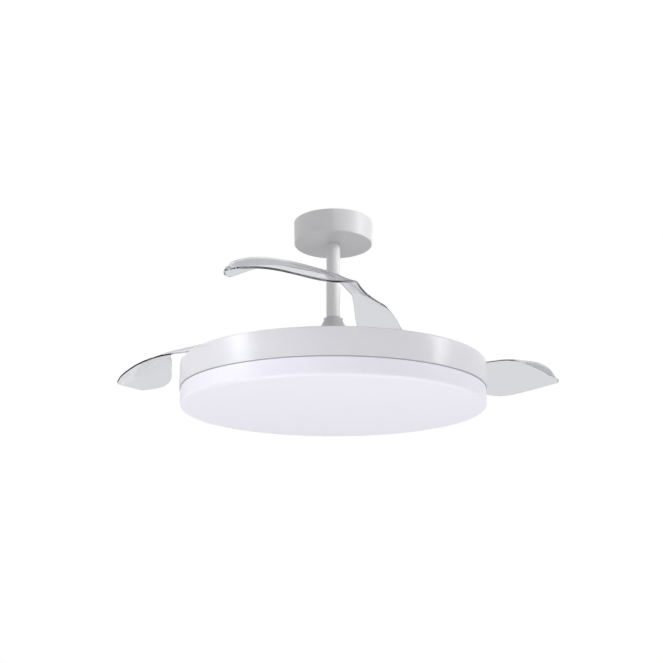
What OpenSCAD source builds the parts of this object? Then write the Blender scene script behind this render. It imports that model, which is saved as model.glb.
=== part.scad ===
// Ceiling fan with three clear blades that fold in over a flat drum light.
// The fan turns about Z. The ceiling is the plane z = 0 and everything hangs below it.
// The blades stand where the photograph shows them, swung out but not all to the same angle.

/* [Ceiling bracket] */
// Length of the strip that is screwed to the ceiling
strip_l = 112; // [104:1:118]
// Width of the strip and of its two arms
strip_w = 30; // [26:1:34]
// Sheet thickness of the bracket
strip_t = 2.5; // [2:0.1:3]
// Distance between the two ceiling screws
screw_pitch = 80; // [76:1:84]
// Width of the slots for the ceiling screws
slot_w = 6; // [5:0.5:7]
// Length of the slots for the ceiling screws
slot_l = 14; // [10:1:16]
// Hole for the supply cable in the strip
cable_hole_d = 20; // [14:1:24]
// Radius of the hanger ball
ball_r = 17; // [16:0.25:18]
// Depth of the ball's centre below the ceiling
ball_drop = 19.5; // [19:0.25:22]
// Wall of the liner between ball and seat
liner_t = 1.75; // [1.25:0.25:2.5]
// Play of the ball in its liner and of the liner in its seat
ball_play = 0.15; // [0.1:0.05:0.25]
// Diameter of the pin through ball and rod
hanger_pin_d = 5; // [4:0.5:6]
// Width, height and depth of the terminal block
terminal_size = [26, 11, 10]; // [8:0.5:30]

/* [Canopy] */
// Outside diameter at the ceiling
canopy_d = 135.4; // [132:0.2:150]
// How much smaller the diameter is at the bottom
canopy_draft = 2.7; // [0:0.1:5]
// Height of the canopy
canopy_h = 39; // [38:0.5:50]
// Sheet thickness of the canopy
canopy_t = 1.4; // [1:0.1:2]
// Width of the ring round the rod, beyond the rod
ring_w = 1.1; // [0.9:0.1:3]
// Thickness of the ring's two flanges
ring_t = 0.8; // [0.6:0.1:1.5]

/* [Rod] */
// Outside diameter of the rod
rod_d = 23.5; // [22:0.5:25]
// Wall of the rod
rod_wall = 2; // [1.5:0.25:3]
// Ceiling to the lower end of the rod
rod_end = 203; // [190:1:260]
// Running clearance of the parts that slide on the rod
slide_gap = 0.05; // [0.03:0.01:0.1]
// Ceiling to the top of the rod cover
cover_drop = 168.7; // [150:0.5:230]
// Height of the rod cover
cover_h = 31; // [28:0.5:36]
// Outside radius of the rod cover at its lower edge
cover_r = 30; // [28:0.5:36]
// Wall of the rod cover
cover_t = 1.3; // [1:0.1:1.6]
// Outside diameter of the coupling
coupling_d = 33; // [31:0.5:34]
// Length of the coupling
coupling_l = 32; // [30:1:36]
// Diameter of the coupling pin
coupling_pin_d = 6; // [5:0.5:7]

/* [Drum] */
// Outside diameter of the rim
rim_d = 500; // [490:1:520]
// Height of the rim
rim_h = 42.5; // [40:0.5:60]
// Sheet thickness of the rim and the plates
sheet_t = 1.5; // [1.2:0.1:2]
// Ceiling to the top of the rim
rim_drop = 256; // [256:1:320]
// Width of the rolled lip on top of the rim
lip_w = 7; // [5:0.5:10]
// Depth of the plate below the top of the rim
plate_drop = 11; // [10.5:0.5:12]
// Width of the ledge that carries the plate
ledge_w = 14; // [12:0.5:18]

/* [Light] */
// How far the light cover's side stands inside the rim's
light_inset = 2; // [1.8:0.1:6]
// Height of the light cover that shows below the rim
light_h = 29; // [26:0.5:60]
// Wall of the light cover
light_t = 2.2; // [1.8:0.1:3]
// Radius of the light cover's lower corner
light_corner = 5; // [3:0.5:12]
// Room between the light pan's edge and the wall of the cover
pan_room = 13.8; // [12:0.2:18]
// Depth of the pan's underside below the plate
pan_gap = 23.5; // [22:0.5:26]
// Number of catches that hold the light cover
catches = 3; // [3:1:4]
// Length, width and height of the light driver
driver_size = [110, 44, 19]; // [15:1:120]
// Length, width and height of the receiver box
receiver_size = [88, 38, 18]; // [15:1:100]
// Thickness of the light board
board_t = 1.6; // [1:0.1:2]

/* [Motor] */
// Outside radius of the motor housing
motor_r = 70; // [68:1:74]
// Width of the motor flanges
flange_w = 14; // [13:1:16]
// Sheet thickness of the motor covers
motor_t = 2.5; // [2:0.25:3]
// Top of the motor above the rim
motor_top = 34; // [32:0.5:36]
// Bottom of the motor below the top of the rim
motor_sunk = 8; // [7:0.5:8.5]
// Diameter of the hollow shaft
shaft_d = 16; // [15:0.5:17]
// Bore of the shaft for the wires
shaft_bore = 9; // [7:0.5:10]
// Number of stator teeth
teeth = 9; // [6:3:12]
// Gap between stator and magnets
air_gap = 0.8; // [0.5:0.1:1.5]
// Number of screws that close the motor
motor_screw_n = 6; // [5:1:8]

/* [Blade pivots] */
// Distance of the blade pivots from the axis
pivot_r = 165; // [160:1:168]
// Direction of the first pivot
pivot_az = 300; // [290:1:310]
// Diameter of the pivot pins
pin_d = 10; // [8:0.5:12]
// Wall of the bush round the pivot pin
bush_t = 2.5; // [2:0.25:3]
// Running clearance of the bush on its pin
pin_gap = 0.05; // [0.02:0.01:0.08]
// Radius of the round blade clamps
clamp_r = 23; // [22:0.5:25]
// Thickness of the carrier that holds the pivots
carrier_t = 2.5; // [2:0.25:3]
// Wire of the return springs
wire_d = 1.2; // [1:0.1:1.4]
// Swing of each blade from straight out, as it hangs in the photograph
swing = [-53, -38, -33]; // [-124:1:-30]

/* [Blades] */
// Length of a blade from its pivot to its tip
blade_l = 355; // [345:1:358]
// How far the blade's middle line bends back on its way to the tip
blade_bend = 49.5; // [46:0.5:54]
// Thickness of a blade
blade_t = 2.5; // [2:0.1:3]
// Radius of the blade's round root
root_r = 22; // [20:0.5:23]
// Width of the widest part ahead of the middle line
lead_w = 67; // [60:1:68]
// Width of the narrow neck ahead of the middle line
neck_lead_w = 7; // [6:0.5:12]
// Width of the shoulder behind the middle line, next to the root
shoulder_w = 37; // [30:0.5:38]
// Width of the narrow neck behind the middle line
neck_trail_w = 7; // [6:0.5:12]
// Width behind the middle line at the tip
trail_w = 58; // [48:0.5:58]
// Height of the blade's arch above the rim
arch_h = 54; // [50:1:56]
// Height of the blade's tip above the rim
tip_h = 24.5; // [23:0.5:27]
// Height of the blade's underside at the root above the rim
root_h = 13.7; // [13.5:0.1:15]
// Greatest pitch of the blade, at half its length
pitch_mid = 26.5; // [20:0.5:28]
// Pitch of the blade at its tip
pitch_tip = 2; // [0:1:10]
// Depth of the blade's hollow at the tip
hollow_tip = 24; // [16:1:24]

/* [Hidden] */
$fn = 96;

eps = 0.01;
fit = 0.05;                                    // clearance of parts that are pressed or screwed in
gap = 0.3;                                     // clearance of parts that pass each other

// Colours as the photograph shows them
white = [0.95, 0.95, 0.96];
rim_white = [0.90, 0.91, 0.93];
opal = [0.96, 0.95, 0.99];
acrylic = [0.80, 0.81, 0.83, 0.55];
steel = [0.72, 0.73, 0.75];
zinc = [0.62, 0.63, 0.62];
nylon = [0.90, 0.89, 0.85];
copper = [0.72, 0.42, 0.24];
black = [0.16, 0.16, 0.17];
brass = [0.78, 0.64, 0.34];

// Ceiling end
rod_r = rod_d / 2;
liner_r = ball_r + ball_play;                  // inside of the liner
seat_r = liner_r + liner_t + ball_play;        // inside of the seat
seat_wall = 5;                                 // sheet ring round the seat
seat_top = 5;                                  // seat, from the ball's centre down
seat_low = 13;
seat_or = sqrt(pow(seat_r, 2) - pow(seat_top, 2)) + seat_wall;
ball_top = 9.5;                                // flats of the ball, from its centre
ball_low = 10.5;
liner_low = 11.5;
liner_top = 4;
hanger_pin_l = 2 * sqrt(pow(ball_r, 2) - pow(hanger_pin_d / 2, 2)) - 2;
earth_d = 4;
earth_z = -ball_drop + 4;
mouth_w = rod_d + 2;                           // side opening that lets the rod into the seat
liner_or = liner_r + liner_t;

// Lower end of the rod
rod_seat = 19;                                 // depth of the rod in the coupling
coupling_top = -rod_end + rod_seat;
coupling_low = coupling_top - coupling_l;
coupling_pin_z = coupling_top - 0.28 * coupling_l;
shaft_top = -rod_end - 2;
clip_d = 2;
clip_x = coupling_d / 2 + clip_d / 2 + 0.2;
cover_top = -cover_drop;
cover_screw_z = cover_top - 3.6;
cover_screw_d = 3;
cover_screw_l = 3;
cover_head_d = 4.2;
cover_head_h = 1.4;
cover_screw_dip = 16;                          // the two screws sit this far round from the sides

// Heights in the drum and the motor
rim_top = -rim_drop;
rim_r = rim_d / 2;
plate_top = rim_top - plate_drop;
plate_low = plate_top - sheet_t;
plate_r = rim_r - lip_w - 0.5;
rim_screw_n = 6;
rim_screw_r = plate_r - ledge_w / 2 + 2;
rim_screw_d = 3;
pan_low = plate_low - pan_gap;
pan_top = pan_low + sheet_t;
pan_hole_r = 30;                               // lets the shaft, its nut and the wires through
motor_low = rim_top - motor_sunk;
motor_high = rim_top + motor_top;
carrier_top = rim_top + 2;
carrier_low = carrier_top - carrier_t;
flange_mid = carrier_top + motor_t;            // joint of the two motor covers
flange_top = flange_mid + motor_t;
shaft_r = shaft_d / 2;
flange_r = motor_r + flange_w;
bearing_r = shaft_r + 8;
bearing_h = 7;
bearing_low = motor_low + 2;
bearing_high = motor_high - 2;
motor_screw_r = motor_r + flange_w / 2 + 1;
motor_screw_d = 4;
motor_screw_head_d = 7.2;
magnet_t = 5;
magnet_r = motor_r - motor_t - fit - magnet_t; // inside of the magnets
stator_r = magnet_r - air_gap;
stator_mid = (motor_low + motor_high) / 2;
stator_h = 14;
coil_h = 24;
coil_in = 30;
coil_out = 50;
coil_w = 2 * coil_in * tan(180 / teeth) - 3.8; // leaves a gap between neighbours
tooth_w = coil_w / 2;
yoke_t = 5;
shaft_low = plate_low - 12;
shoulder_h = 2;

// Blade pivots, stacked from the carrier upward
pin_r = pin_d / 2;
bush_low = carrier_top + gap;
bush_r = pin_r + pin_gap + bush_t;
blade_low = rim_top + root_h;
blade_mid = blade_low + blade_t / 2;
clamp_low = blade_low - 4.7;
clamp_t = blade_low - clamp_low - fit;
clamp_top = blade_low + blade_t + fit;
clamp_plate_t = 2;
bush_high = clamp_top + clamp_plate_t + 2;
pin_head = bush_high + gap;
spring_r = bush_r + 3;
spring_turns = 2.5;
spring_pitch = wire_d + 0.6;
clamp_screw_d = 3;
clamp_screw_r = (bush_r + clamp_r) / 2 - 0.5;

// Light
light_r = rim_r - light_inset;
pan_r = light_r - light_t - pan_room;
light_low = rim_top - rim_h - light_h;
light_top = rim_top - rim_h + 2.5;
lug_t = 2;
lug_w = 7;
lug_angle = 16;
catch_angle = 12;
catch_t = 1.5;
lug_top = light_top - 1.3;
catch_top = lug_top - lug_t - 0.2;
spacer_n = 4;
spacer_r = 4;
spacer_screw_r = 2;
spacer_ring = pan_r - 17;
board_in = 64;                                 // inside of the light board, round the shaft nut
board_out = spacer_ring - 12;
board_hole_r = 1.6;
chip = 3;                                      // side of a light chip
chip_h = 0.8;
chip_rings = 3;
foot_l = 9;
foot_t = 1.6;
foot_hole_d = 4;

// The blade, seen from above: its middle line starts at the pivot, along X, and bends back.
// Each table holds [share of the length, size], and eased() rounds its corners.
flat_l = root_r + 2;                           // length that stays flat for the clamp
rise_l = 58;                                   // length in which the blade climbs over the rim
tip_start = 0.86;                              // where the round tip begins
lead_table = [[0, root_r], [0.1, root_r + 15], [0.2, neck_lead_w + 15], [0.36, neck_lead_w],
    [0.48, 0.54 * lead_w], [0.6, lead_w], [0.7, 0.96 * lead_w], [0.85, 0.64 * lead_w], [1, 0.25 * lead_w]];
trail_table = [[0, root_r], [0.07, shoulder_w], [0.13, 0.96 * shoulder_w], [0.2, 0.73 * shoulder_w],
    [0.33, neck_trail_w + 12], [0.4, neck_trail_w + 4], [0.5, neck_trail_w],
    [0.7, 0.72 * trail_w], [1, trail_w]];
arch_table = [[0, arch_h], [0.25, arch_h - 6], [0.5, arch_h + 2], [0.75, (arch_h + tip_h) / 2], [1, tip_h]];
pitch_table = [[0, 0.65 * pitch_mid], [0.25, pitch_mid], [0.5, 0.8 * pitch_mid], [0.75, pitch_mid],
    [1, pitch_tip]];
hollow_table = [[0, 6], [0.5, 0.1 * hollow_tip], [1, hollow_tip]];
ease = 0.06;
columns = 8;

function eased(table, t) = (lookup(t - ease, table) + lookup(t - ease / 2, table) + lookup(t, table)
    + lookup(t + ease / 2, table) + lookup(t + ease, table)) / 5;
function smooth_step(x) = let (u = min(1, max(0, x))) u * u * (3 - 2 * u);
function climb(s) = smooth_step((s - flat_l) / rise_l);
function tip_round(t) = t < tip_start ? 1 : sqrt(max(0, 1 - pow((t - tip_start) / (1 - tip_start), 2)));
function heading(s) = s < 0 ? 0 : -blade_bend * pow(s / blade_l, 2);

// Places along the middle line: round root, climb, long blade, round tip
stations = concat(
    [for (a = [84, 60, 36, 12]) -root_r * sin(a)],
    [8, 16, flat_l],
    [for (i = [1:7]) flat_l + rise_l * i / 7],
    [for (i = [1:14]) flat_l + rise_l + (tip_start * blade_l - flat_l - rise_l) * i / 14],
    [for (a = [14:12:86]) blade_l * (tip_start + (1 - tip_start) * sin(a))]
);
line_steps = 240;
line_step = blade_l / line_steps;
middle_line = [for (i = 0, p = [0, 0]; i <= line_steps;
    p = p + line_step * [cos(heading((i + 0.5) * line_step)), sin(heading((i + 0.5) * line_step))],
    i = i + 1) p];
function middle(s) = s <= 0 ? [s, 0] :
    let (k = min(line_steps - 1, floor(s / line_step)), f = s / line_step - k)
    middle_line[k] * (1 - f) + middle_line[k + 1] * f;

function width(table, s) = s < 0 ? sqrt(pow(root_r, 2) - s * s)
    : tip_round(s / blade_l) * eased(table, s / blade_l);
function lead(s) = width(lead_table, s);
function trail(s) = width(trail_table, s);

// A point of the blade's middle surface: s along the blade, u from 0 at the leading edge to 1
function blade_point(s, u) = let (
    t = max(0, s / blade_l), c = climb(s), h = heading(s),
    slope = c * tan(eased(pitch_table, t)),
    w = lead(s) - u * (lead(s) + trail(s)),
    z = (blade_mid - rim_top) * (1 - c) + c * eased(arch_table, t),
    hollow = c * tip_round(t) * eased(hollow_table, t) * sin(180 * u * u),
    m = middle(s)
) [m.x - w * sin(h), m.y + w * cos(h), rim_top + z - slope * w + hollow];
function unit(v) = v / norm(v);
function blade_normal(s, u) = let (d = 0.01,
    along = blade_point(s + d, u) - blade_point(s - d, u),
    across = blade_point(s, u - d) - blade_point(s, u + d)
) unit(cross(along, across));

function grid_faces(rows, cols, first, flip) = [for (i = [0:rows - 2], j = [0:cols - 2])
    let (a = first + i * cols + j, b = a + 1, c = a + cols, d = c + 1)
    each (flip ? [[a, b, c], [b, d, c]] : [[a, c, b], [b, c, d]])];
function wall_faces(ring, shift) = [for (k = [0:len(ring) - 1])
    let (a = ring[k], b = ring[(k + 1) % len(ring)])
    each [[a, b, a + shift], [b, b + shift, a + shift]]];

module ring(r1, r2, z, h) {
    translate([0, 0, z]) difference() {
        cylinder(r = r2, h = h);
        translate([0, 0, -1]) cylinder(r = r1, h = h + 2);
    }
}

module rod_along(z1, z2, r) {
    translate([0, 0, z1]) cylinder(r = r, h = z2 - z1);
}

module around(n, r, start = 0) {
    for (i = [0:n - 1]) rotate([0, 0, start + i * 360 / n]) translate([r, 0, 0]) children();
}

// Places a child that is drawn round the pivot of blade i
module at_pivot(i) {
    rotate([0, 0, pivot_az - 120 * i]) translate([pivot_r, 0, 0]) children();
}

module at_blade(i) {
    at_pivot(i) rotate([0, 0, swing[i]]) children();
}

// --- Ceiling end -------------------------------------------------------------------------------

module ceiling_bracket() color(zinc) difference() {
    union() {
        translate([0, 0, -strip_t / 2]) cube([strip_l, strip_w, strip_t], center = true);
        for (side = [-1, 1]) translate([side * (seat_or - strip_t / 2), 0, -(ball_drop + seat_low) / 2])
            cube([strip_t, strip_w, ball_drop + seat_low], center = true);
        rod_along(-ball_drop - seat_low, -ball_drop - seat_top, seat_or);
    }
    translate([0, 0, -ball_drop]) sphere(r = seat_r);
    translate([-mouth_w / 2, 0, -ball_drop - seat_low - 1])
        cube([mouth_w, seat_or + 1, seat_low - seat_top + 2]);
    for (side = [-1, 1]) translate([side * screw_pitch / 2, 0, 0]) ceiling_slot();
    rod_along(-strip_t - 1, 1, cable_hole_d / 2);
    translate([-seat_or + strip_t / 2, 0, earth_z]) rotate([0, 90, 0])
        cylinder(d = earth_d + 2 * fit, h = 2 * strip_t, center = true);
}

module ceiling_slot() {
    run = slot_l - slot_w;
    for (x = [-run / 2, run / 2]) translate([x, 0, -strip_t - 1]) cylinder(d = slot_w, h = strip_t + 2);
    translate([0, 0, -strip_t / 2]) cube([run, slot_w, strip_t + 2], center = true);
}

// Three ways, each with a screw hole from above and a wire hole from the side
module terminal_block() color(nylon) difference() {
    block_top = -ball_drop + 9;
    screw_hole_r = 1.8;
    wire_hole_r = 1.6;
    translate([seat_or, -terminal_size.x / 2, block_top - terminal_size.y])
        cube([terminal_size.z, terminal_size.x, terminal_size.y]);
    for (way = [-1:1]) translate([seat_or + terminal_size.z / 2, way * terminal_size.x / 3.4, block_top]) {
        rod_along(-terminal_size.y + 1.5, 1, screw_hole_r);
        translate([0, 0, -terminal_size.y / 2]) rotate([0, 90, 0])
            cylinder(r = wire_hole_r, h = terminal_size.z);
    }
}

module earth_screw() color(brass) translate([-seat_or, 0, earth_z]) rotate([0, 90, 0]) {
    head_h = 2.4;
    difference() {
        translate([0, 0, -head_h]) cylinder(r = earth_d, h = head_h);
        translate([0, 0, -head_h - 0.5]) cube([1, 6, 2.6], center = true);
    }
    cylinder(d = earth_d, h = strip_t + 1.5);
}

module ball_liner() color(nylon) translate([0, 0, -ball_drop]) difference() {
    intersection() {
        sphere(r = liner_or);
        rod_along(-liner_low, -liner_top, seat_or);
    }
    sphere(r = liner_r);
}

module hanger_ball() color(black) translate([0, 0, -ball_drop]) difference() {
    intersection() {
        sphere(r = ball_r);
        rod_along(-ball_low, ball_top, ball_r);
    }
    rod_along(-ball_r, ball_r, rod_r + fit);
    rotate([0, 90, 0]) cylinder(d = hanger_pin_d + 2 * fit, h = 3 * ball_r, center = true);
}

module hanger_pin() color(steel) translate([0, 0, -ball_drop]) rotate([0, 90, 0])
    cylinder(d = hanger_pin_d, h = hanger_pin_l, center = true);

module downrod() color(white) difference() {
    rod_along(-rod_end, -ball_drop + ball_top, rod_r);
    rod_along(-rod_end - 1, 0, rod_r - rod_wall);
    translate([0, 0, -ball_drop]) rotate([0, 90, 0])
        cylinder(d = hanger_pin_d + 2 * fit, h = 2 * rod_d, center = true);
    translate([0, 0, coupling_pin_z]) rotate([0, 90, 0])
        cylinder(d = coupling_pin_d + 2 * fit, h = 2 * rod_d, center = true);
}

module canopy() color(white) {
    top_r = canopy_d / 2;
    low_r = (canopy_d - canopy_draft) / 2;
    edge = 1;
    hole_r = rod_r + slide_gap + ring_w - 0.4 + fit;
    rotate_extrude() polygon([
        [top_r, 0], [low_r, -canopy_h + edge], [low_r - edge, -canopy_h], [hole_r, -canopy_h],
        [hole_r, -canopy_h + canopy_t], [low_r - canopy_t, -canopy_h + canopy_t], [top_r - canopy_t, 0]
    ]);
}

module canopy_ring() color(white) {
    bore = rod_r + slide_gap;
    rotate_extrude() polygon([
        [bore, -canopy_h - ring_t], [bore + ring_w, -canopy_h - ring_t], [bore + ring_w, -canopy_h],
        [bore + ring_w - 0.4, -canopy_h], [bore + ring_w - 0.4, -canopy_h + canopy_t],
        [bore + ring_w, -canopy_h + canopy_t], [bore + ring_w, -canopy_h + canopy_t + ring_t],
        [bore, -canopy_h + canopy_t + ring_t]
    ]);
}

// --- Lower end of the rod ----------------------------------------------------------------------

// Outside radius of the rod cover at a depth below its top: a bell
function bell_r(d) = rod_r + slide_gap + 0.8 + (cover_r - rod_r - 0.8) * pow(d / cover_h, 1.2);

module rod_cover() color(white) difference() {
    collar = 6.5;                              // length that grips the rod
    edge = 0.7;
    rotate_extrude() polygon(concat(
        [[rod_r + slide_gap, cover_top - collar], [rod_r + slide_gap, cover_top]],
        [for (i = [0:10]) [bell_r(cover_h * i / 10) + (i == 0 ? -eps : edge), cover_top - cover_h * i / 10]],
        [for (i = [10:-1:3]) [bell_r(cover_h * i / 10) + edge - cover_t, cover_top - cover_h * i / 10]]
    ));
    cover_screw_places() {
        cylinder(d = cover_screw_d + 2 * fit, h = cover_r);
        translate([0, 0, cover_screw_l - fit]) cylinder(d = cover_head_d + 0.4, h = cover_r);
    }
}

module cover_screw_places() {
    for (a = [-cover_screw_dip, 180 + cover_screw_dip]) rotate([0, 0, a])
        translate([rod_r + 0.2, 0, cover_screw_z]) rotate([0, 90, 0]) children();
}

module rod_cover_screws() color(steel) cover_screw_places() difference() {
    union() {
        cylinder(d = cover_screw_d, h = cover_screw_l);
        translate([0, 0, cover_screw_l]) cylinder(d = cover_head_d, h = cover_head_h);
    }
    translate([0, 0, cover_screw_l + cover_head_h]) cube([0.6, 5, 1.2], center = true);
}

module coupling() color(zinc) difference() {
    rod_along(coupling_low, coupling_top, coupling_d / 2);
    rod_along(-rod_end - fit, coupling_top + 1, rod_r + fit);
    rod_along(coupling_low - 1, shaft_top + fit, shaft_r + fit);
    rod_along(coupling_low, coupling_top, shaft_bore / 2);
    translate([0, 0, coupling_pin_z]) rotate([0, 90, 0])
        cylinder(d = coupling_pin_d + 2 * fit, h = 2 * coupling_d, center = true);
}

module coupling_pin() color(steel) difference() {
    head_x = -coupling_d / 2 - 0.2;
    head_h = 2;
    translate([0, 0, coupling_pin_z]) rotate([0, 90, 0]) {
        translate([0, 0, head_x]) cylinder(d = coupling_pin_d, h = clip_x + 2 - head_x);
        translate([0, 0, head_x - head_h]) cylinder(d = coupling_pin_d + 2.5, h = head_h);
    }
    translate([clip_x, 0, coupling_pin_z])
        cylinder(d = clip_d + 2 * fit, h = 2 * coupling_pin_d, center = true);
}

module coupling_clip() color(steel) translate([clip_x, 0, coupling_pin_z]) {
    reach = coupling_pin_d / 2 + 2;
    loop_r = 2.2;
    loop_d = 1.4;
    translate([0, 0, -reach]) cylinder(d = clip_d, h = 2 * reach);
    translate([0, 0, reach + loop_r - 0.6]) rotate([0, 90, 0])
        rotate_extrude() translate([loop_r, 0]) circle(d = loop_d, $fn = 32);
}

// --- Motor -------------------------------------------------------------------------------------

module motor_shaft() color(steel) difference() {
    union() {
        rod_along(shaft_low, shaft_top, shaft_r);
        rod_along(plate_top, plate_top + shoulder_h, shaft_r + 4);
    }
    rod_along(shaft_low - 1, shaft_top + 1, shaft_bore / 2);
}

module stator_core() color(steel) difference() {
    translate([0, 0, stator_mid - stator_h / 2]) linear_extrude(stator_h) {
        circle(r = coil_in - 4);
        intersection() {
            union() {
                around(teeth, 0) translate([0, -tooth_w / 2]) square([stator_r, tooth_w]);
                difference() {
                    circle(r = stator_r);
                    circle(r = stator_r - yoke_t);
                    around(teeth, stator_r, 180 / teeth) square([16, 4], center = true);
                }
            }
            circle(r = stator_r);
        }
    }
    rod_along(motor_low, motor_high, shaft_r);
}

module stator_windings() color(copper) around(teeth, (coil_in + coil_out) / 2)
    translate([0, 0, stator_mid]) difference() {
        cube([coil_out - coil_in, coil_w, coil_h], center = true);
        cube([coil_out, tooth_w + 2 * fit, stator_h + 2 * fit], center = true);
    }

module bearing(z) color(steel) translate([0, 0, z]) rotate_extrude() polygon([
    [shaft_r, 0], [shaft_r + 2.2, 0], [shaft_r + 2.2, 0.6], [bearing_r - 2.4, 0.6], [bearing_r - 2.4, 0],
    [bearing_r - fit, 0], [bearing_r - fit, bearing_h], [bearing_r - 2.4, bearing_h],
    [bearing_r - 2.4, bearing_h - 0.6], [shaft_r + 2.2, bearing_h - 0.6], [shaft_r + 2.2, bearing_h],
    [shaft_r, bearing_h]
]);

module lower_bearing() bearing(bearing_low);
module upper_bearing() bearing(bearing_high - bearing_h);

// The motor's own screws, and halfway between them those that hold the carrier
module flange_screw_holes(share) around(motor_screw_n, motor_screw_r, share * 180 / motor_screw_n)
    rod_along(carrier_low - 1, flange_top + 1, motor_screw_d / 2 + fit);

module motor_bottom_cover() color(white) difference() {
    rotate_extrude() polygon([
        [shaft_r + 1, motor_low], [motor_r - 2, motor_low], [motor_r, motor_low + 2], [motor_r, carrier_top],
        [flange_r, carrier_top], [flange_r, flange_mid], [motor_r - motor_t, flange_mid],
        [motor_r - motor_t, motor_low + motor_t], [bearing_r + 3, motor_low + motor_t],
        [bearing_r + 3, bearing_low + bearing_h], [bearing_r, bearing_low + bearing_h],
        [bearing_r, bearing_low - fit], [shaft_r + 1, bearing_low - fit]
    ]);
    flange_screw_holes(0);
    flange_screw_holes(1);
}

motor_top_profile = [
    [motor_r - motor_t, flange_mid], [flange_r, flange_mid], [flange_r, flange_top], [motor_r, flange_top],
    [motor_r, motor_high - 4], [motor_r - 4, motor_high], [shaft_r + 1, motor_high],
    [shaft_r + 1, bearing_high + fit], [bearing_r, bearing_high + fit],
    [bearing_r, bearing_high - bearing_h], [bearing_r + 3, bearing_high - bearing_h],
    [bearing_r + 3, motor_high - motor_t], [motor_r - motor_t - 3, motor_high - motor_t],
    [motor_r - motor_t, motor_high - motor_t - 3]
];

// Sheet cover with radial ribs round its bearing
module motor_top_cover() color(white) difference() {
    rib_n = 12;
    rib_w = 3;
    rib_h = 1.2;
    rib_in = coupling_d / 2 + 6;
    union() {
        around(rib_n, rib_in) translate([0, -rib_w / 2, motor_high - motor_t / 2])
            cube([motor_r - 8 - rib_in, rib_w, motor_t / 2 + rib_h]);
        rotate_extrude() polygon(motor_top_profile);
    }
    flange_screw_holes(0);
    flange_screw_holes(1);
}

module magnet_ring() color(black)
    ring(magnet_r, magnet_r + magnet_t, stator_mid - stator_h / 2 - 2, stator_h + 4);

module motor_screws() color(steel) around(motor_screw_n, motor_screw_r) difference() {
    union() {
        rod_along(carrier_top, flange_top, motor_screw_d / 2);
        rod_along(flange_top, flange_top + 2, motor_screw_head_d / 2);
    }
    translate([0, 0, flange_top + 2]) {
        cube([1, 4.4, 2], center = true);
        cube([4.4, 1, 2], center = true);
    }
}

// --- Blade carrier and pivots ------------------------------------------------------------------

// A ring under the motor's flange with an arm to each pivot and a lightening hole in each arm
module blade_carrier() color(steel) translate([0, 0, carrier_low]) difference() {
    end_r = clamp_r + 1;
    foot = 2 * end_r - 2;                      // half the arm's width where it leaves the ring
    hole_r = 15;
    linear_extrude(carrier_t) difference() {
        union() {
            circle(r = flange_r + 6);
            for (i = [0:2]) rotate(pivot_az - 120 * i) {
                polygon([[motor_r, -foot], [pivot_r, -end_r], [pivot_r, end_r], [motor_r, foot]]);
                translate([pivot_r, 0]) circle(r = end_r);
            }
        }
        circle(r = motor_r + 0.5);
        for (i = [0:2]) rotate(pivot_az - 120 * i)
            translate([(flange_r + pivot_r) / 2 - 4, 0]) circle(r = hole_r);
    }
    translate([0, 0, -carrier_low]) {
        flange_screw_holes(1);
        for (i = [0:2]) at_pivot(i) rod_along(carrier_low - 1, carrier_top + 1, pin_r);
    }
}

module carrier_screws() color(steel) around(motor_screw_n, motor_screw_r, 180 / motor_screw_n) {
    rod_along(carrier_low, flange_top, motor_screw_d / 2);
    rod_along(carrier_low - 2, carrier_low, motor_screw_head_d / 2);
}

module pivot_pins() color(steel) for (i = [0:2]) at_pivot(i) {
    rod_along(carrier_low, pin_head + eps, pin_r);
    rod_along(carrier_low - 1.5, carrier_low, pin_r + 3);
    rod_along(pin_head, pin_head + 2, bush_r + 1);
}

// One unbroken wire, its ends straight for one wire diameter
function spring_point(a) = [spring_r * cos(a), spring_r * sin(a), a / 360 * spring_pitch];
function spring_dir(a) = unit([-sin(a), cos(a), spring_pitch / (2 * PI * spring_r)]);
spring_first = -wire_d * spring_dir(0) + spring_point(0);
spring_last = 3 * wire_d * spring_dir(360 * spring_turns) + spring_point(360 * spring_turns);
spring_step = 30;
spring_turn_points = [for (a = [0:spring_step:360 * spring_turns]) spring_point(a)];
spring_path = concat([spring_first], spring_turn_points, [spring_last]);

// The least gap between the turns, measured on points at least half a turn apart
function least_gap(path, apart) = min([for (i = [0:len(path) - 1], k = [0:len(path) - 1])
    if (k >= i + apart) norm(path[i] - path[k])]) - wire_d;
echo(spring_gap = least_gap(spring_path, 180 / spring_step));

module wire(path, d) {
    n = len(path);
    sides = 6;
    dirs = [for (k = [0:n - 1]) unit(path[min(n - 1, k + 1)] - path[max(0, k - 1)])];
    points = [for (k = [0:n - 1]) let (u = unit(cross(dirs[k], [0, 0, 1])), v = cross(dirs[k], u))
        for (j = [0:sides - 1]) path[k] + d / 2 * (cos(60 * j) * u + sin(60 * j) * v)];
    walls = [for (k = [0:n - 2], j = [0:sides - 1]) let (
            a = k * sides + j, b = k * sides + (j + 1) % sides, c = a + sides, e = b + sides)
        each [[a, c, b], [b, c, e]]];
    first = [for (j = [1:sides - 2]) [0, j, j + 1]];
    last = [for (j = [1:sides - 2]) [(n - 1) * sides, (n - 1) * sides + j + 1, (n - 1) * sides + j]];
    polyhedron(points, concat(walls, first, last));
}

module return_springs() color(steel) for (i = [0:2]) at_pivot(i)
    translate([0, 0, carrier_top + gap + wire_d / 2]) wire(spring_path, wire_d);

// --- Blades ------------------------------------------------------------------------------------

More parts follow.
